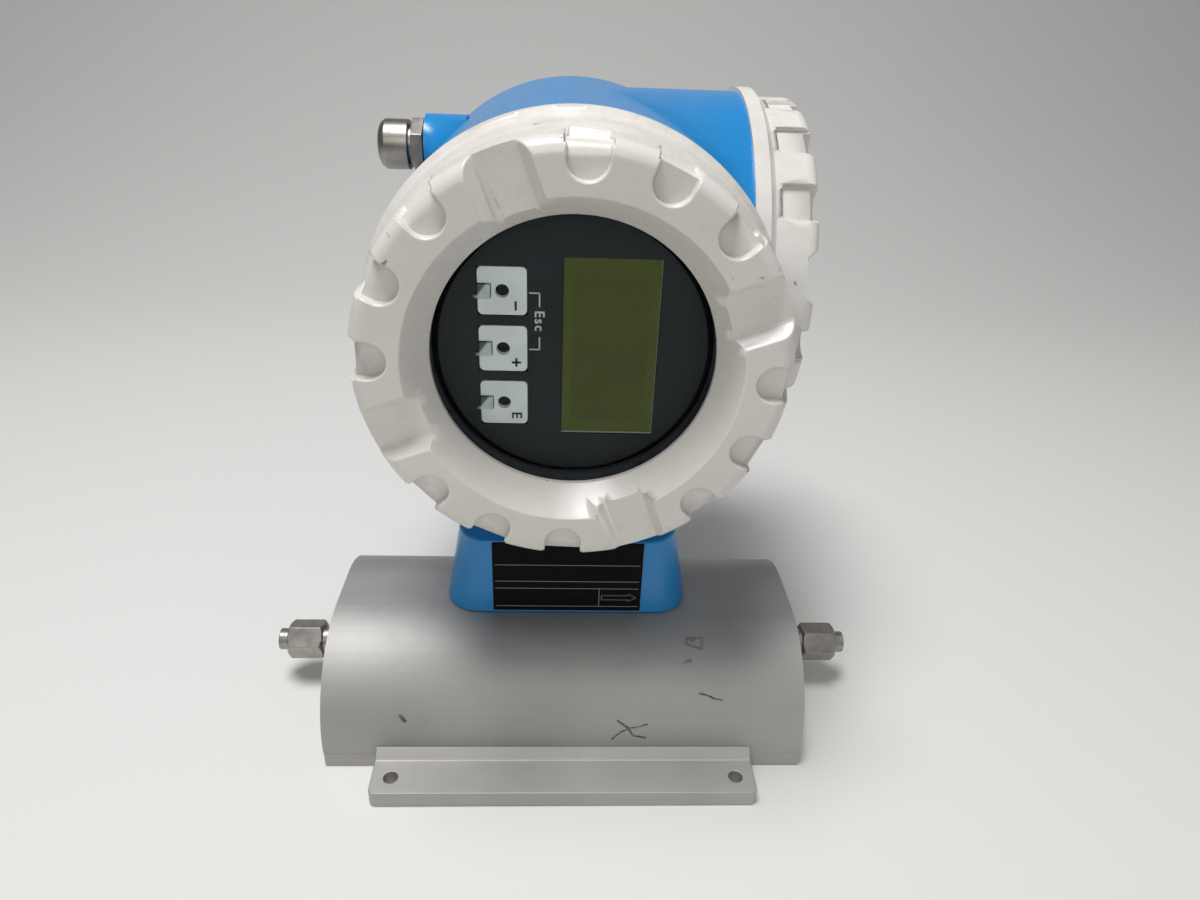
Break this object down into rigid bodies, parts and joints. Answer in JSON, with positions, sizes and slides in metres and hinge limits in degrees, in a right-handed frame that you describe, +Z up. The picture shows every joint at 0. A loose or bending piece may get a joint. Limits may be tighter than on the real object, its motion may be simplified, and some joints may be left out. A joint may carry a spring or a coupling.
{
  "type": "coriolis mass flow meter",
  "caption": "Compact coriolis mass flow meter: stainless sensor with tube couplings and mounting bars, blue pedestal, swivelling field transmitter with display window and screw covers.",
  "frame": {"origin": "centre of the four mounting holes, on the standing surface under the middle of the sensor", "axes": "+X along the flow from inlet to outlet, +Y away from the display side, +Z up"},
  "size_m": [0.298, 0.241, 0.293],
  "materials": {
    "stainless": "satin, bead-blasted",
    "bar_steel": "satin",
    "fitting_steel": "turned",
    "inner_steel": "turned",
    "blue_paint": "satin powder coat",
    "white_paint": "satin powder coat",
    "nickel": "satin nickel plate",
    "rubber": "matt",
    "plate_black": "satin",
    "black_plastic": "satin",
    "key_grey": "satin",
    "prism_clear": "clear",
    "screen": "gloss",
    "window": "polished",
    "board": "solder mask",
    "spacer": "matt",
    "terminal": "matt",
    "coil": "varnished winding",
    "magnet": "bare"
  },
  "bodies": {
    "sensor": {"base_plate": "stainless", "sensor_shell": "stainless", "inlet_end_plate": "stainless", "outlet_end_plate": "stainless", "front_mounting_bar": "bar_steel", "rear_mounting_bar": "bar_steel", "inlet_coupling": "fitting_steel", "outlet_coupling": "fitting_steel", "inlet_gasket": "rubber", "outlet_gasket": "rubber", "measuring_tube": "inner_steel", "tube_carrier": "inner_steel", "tube_clamps": "inner_steel", "drive_magnet": "magnet", "drive_coil": "coil", "inlet_pickup_magnet": "magnet", "inlet_pickup_coil": "coil", "outlet_pickup_magnet": "magnet", "outlet_pickup_coil": "coil", "temperature_probe": "magnet", "wire_feedthrough": "inner_steel", "pedestal": "blue_paint", "swivel_seal": "rubber", "nameplate": "plate_black"},
    "transmitter": {"transmitter_housing": "blue_paint", "swivel_lock_screws": "inner_steel", "board_carrier": "black_plastic", "board_spacers": "spacer", "power_board": "board", "amplifier_board": "board", "io_board": "board", "terminal_block": "terminal", "terminal_screws": "inner_steel", "display_holder": "black_plastic", "upper_gland_body": "nickel", "lower_gland_body": "nickel", "gland_gaskets": "rubber"},
    "display": {"display_body": "black_plastic", "display_board": "board", "display_bezel": "black_plastic", "lcd_panel": "screen", "key_pads": "key_grey", "key_prisms": "prism_clear"},
    "window": {"window_glass": "window", "glass_retainer": "black_plastic", "front_cover_seal": "rubber"},
    "front_cover": {"front_cover": "white_paint"},
    "terminal_seal": {"terminal_cover_seal": "rubber"},
    "terminal_cover": {"terminal_cover": "white_paint"},
    "upper_insert": {"upper_gland_insert": "rubber"},
    "upper_cap": {"upper_gland_cap": "nickel"},
    "lower_insert": {"lower_gland_insert": "rubber"},
    "lower_cap": {"lower_gland_cap": "nickel"},
    "inlet_union": {"inlet_tube_gland": "fitting_steel"},
    "inlet_nut": {"inlet_nut": "fitting_steel"},
    "outlet_union": {"outlet_tube_gland": "fitting_steel"},
    "outlet_nut": {"outlet_nut": "fitting_steel"}
  },
  "joints": [
    {"name": "transmitter_swivel", "type": "hinge", "parent": "sensor", "child": "transmitter", "pos_m": [0, 0, 0.112], "axis": [0, 0, 1], "range_deg": [-180, 180]},
    {"name": "display_turn", "type": "hinge", "parent": "transmitter", "child": "display", "pos_m": [0, -0.03, 0.209], "axis": [0, -1, 0], "range_deg": [-180, 180]},
    {"name": "front_cover_travel", "type": "slide", "parent": "transmitter", "child": "window", "axis": [0, -1, 0], "range_m": [0, 0.012]},
    {"name": "front_cover_turn", "type": "hinge", "parent": "window", "child": "front_cover", "pos_m": [0, -0.02, 0.209], "axis": [0, -1, 0], "range_deg": [0, 2160]},
    {"name": "terminal_cover_travel", "type": "slide", "parent": "transmitter", "child": "terminal_seal", "axis": [1, 0, 0], "range_m": [0, 0.012]},
    {"name": "terminal_cover_turn", "type": "hinge", "parent": "terminal_seal", "child": "terminal_cover", "pos_m": [0.074, 0.073, 0.209], "axis": [1, 0, 0], "range_deg": [0, 2160]},
    {"name": "upper_insert_travel", "type": "slide", "parent": "transmitter", "child": "upper_insert", "axis": [-1, 0, 0], "range_m": [0, 0.0045]},
    {"name": "upper_cap_turn", "type": "hinge", "parent": "upper_insert", "child": "upper_cap", "pos_m": [-0.08, 0.073, 0.263], "axis": [-1, 0, 0], "range_deg": [0, 1080]},
    {"name": "lower_insert_travel", "type": "slide", "parent": "transmitter", "child": "lower_insert", "axis": [-1, 0, 0], "range_m": [0, 0.0045]},
    {"name": "lower_cap_turn", "type": "hinge", "parent": "lower_insert", "child": "lower_cap", "pos_m": [-0.08, 0.073, 0.155], "axis": [-1, 0, 0], "range_deg": [0, 1080]},
    {"name": "inlet_union_travel", "type": "slide", "parent": "sensor", "child": "inlet_union", "axis": [-1, 0, 0], "range_m": [0, 0.00423]},
    {"name": "inlet_nut_turn", "type": "hinge", "parent": "inlet_union", "child": "inlet_nut", "pos_m": [-0.13, 0, 0.025], "axis": [-1, 0, 0], "range_deg": [0, 1080]},
    {"name": "outlet_union_travel", "type": "slide", "parent": "sensor", "child": "outlet_union", "axis": [1, 0, 0], "range_m": [0, 0.00423]},
    {"name": "outlet_nut_turn", "type": "hinge", "parent": "outlet_union", "child": "outlet_nut", "pos_m": [0.13, 0, 0.025], "axis": [1, 0, 0], "range_deg": [0, 1080]}
  ],
  "couplings": [
    {"joint": "front_cover_travel", "follows": "front_cover_turn", "m_per_rad": 0.00031831},
    {"joint": "terminal_cover_travel", "follows": "terminal_cover_turn", "m_per_rad": 0.00031831},
    {"joint": "upper_cap_turn", "follows": "upper_insert_travel", "rad_per_m": 4188.8},
    {"joint": "lower_cap_turn", "follows": "lower_insert_travel", "rad_per_m": 4188.8},
    {"joint": "inlet_nut_turn", "follows": "inlet_union_travel", "rad_per_m": 4456.2},
    {"joint": "outlet_nut_turn", "follows": "outlet_union_travel", "rad_per_m": 4456.2}
  ]
}
